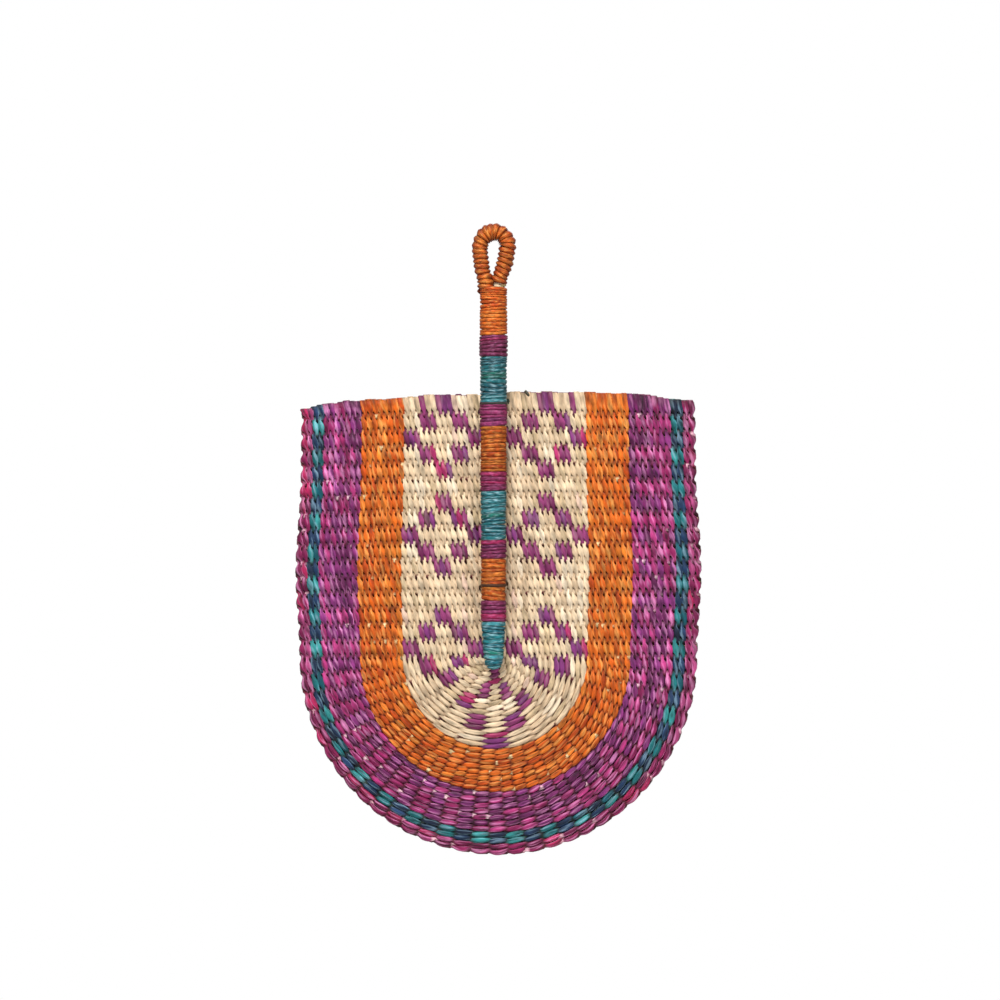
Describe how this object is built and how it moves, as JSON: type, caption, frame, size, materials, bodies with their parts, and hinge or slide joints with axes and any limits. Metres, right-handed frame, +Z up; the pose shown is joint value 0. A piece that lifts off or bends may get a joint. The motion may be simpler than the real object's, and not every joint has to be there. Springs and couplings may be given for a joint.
{
  "type": "woven wall fan",
  "caption": "U-shaped woven grass hand fan that hangs on a wall, with a strand-wrapped handle lashed to its front and a loop eye to hang it by.",
  "frame": {"origin": "top of the opening of the hanging eye, at the middle of the handle's depth, where a nail or hook holds the fan", "axes": "+Z up along the handle, +X to the right as seen from the front, -Y out of the front, +Y towards the wall"},
  "size_m": [0.2568, 0.0194, 0.4002],
  "materials": {
    "natural_grass": "undyed split grass, matt with a faint sheen",
    "orange_grass": "orange dyed grass",
    "purple_grass": "purple dyed grass",
    "teal_grass": "teal dyed grass",
    "navy_grass": "navy and teal dyed grass in turn",
    "magenta_grass": "magenta dyed grass",
    "grass_stem": "bundles of dry undyed stems"
  },
  "bodies": {
    "root": {"handle_core": "grass_stem", "eye_core": "grass_stem", "eye_wrap": "orange_grass", "collar_wrap": "orange_grass", "grip_wrap_01_purple": "purple_grass", "grip_wrap_02_teal": "teal_grass", "grip_wrap_03_purple": "purple_grass", "grip_wrap_04_orange": "orange_grass", "grip_wrap_05_purple": "purple_grass", "grip_wrap_06_teal": "teal_grass", "grip_wrap_07_purple": "purple_grass", "grip_wrap_08_orange": "orange_grass", "grip_wrap_09_orange": "orange_grass", "grip_wrap_10_purple": "purple_grass", "grip_wrap_11_teal": "teal_grass", "upper_tie": "teal_grass", "lower_tie": "orange_grass", "cream_weft_front": "natural_grass", "cream_weft_back": "natural_grass", "orange_weft_front": "orange_grass", "orange_weft_back": "orange_grass", "purple_weft_front": "purple_grass", "purple_weft_back": "purple_grass", "teal_weft_front": "navy_grass", "teal_weft_back": "navy_grass", "rim_weft_front": "magenta_grass", "rim_weft_back": "magenta_grass", "cross_spoke_01": "grass_stem", "cross_spoke_02": "grass_stem", "cross_spoke_03": "grass_stem", "cross_spoke_04": "grass_stem", "cross_spoke_05": "grass_stem", "cross_spoke_06": "grass_stem", "cross_spoke_07": "grass_stem", "cross_spoke_08": "grass_stem", "cross_spoke_09": "grass_stem", "cross_spoke_10": "grass_stem", "cross_spoke_11": "grass_stem", "cross_spoke_12": "grass_stem", "cross_spoke_13": "grass_stem", "cross_spoke_14": "grass_stem", "cross_spoke_15": "grass_stem", "cross_spoke_16": "grass_stem", "radial_spoke_01": "grass_stem", "radial_spoke_02": "grass_stem", "radial_spoke_03": "grass_stem", "radial_spoke_04": "grass_stem", "radial_spoke_05": "grass_stem", "radial_spoke_06": "grass_stem", "radial_spoke_07": "grass_stem", "radial_spoke_08": "grass_stem", "radial_spoke_09": "grass_stem", "radial_spoke_10": "grass_stem", "radial_spoke_11": "grass_stem"}
  },
  "joints": []
}
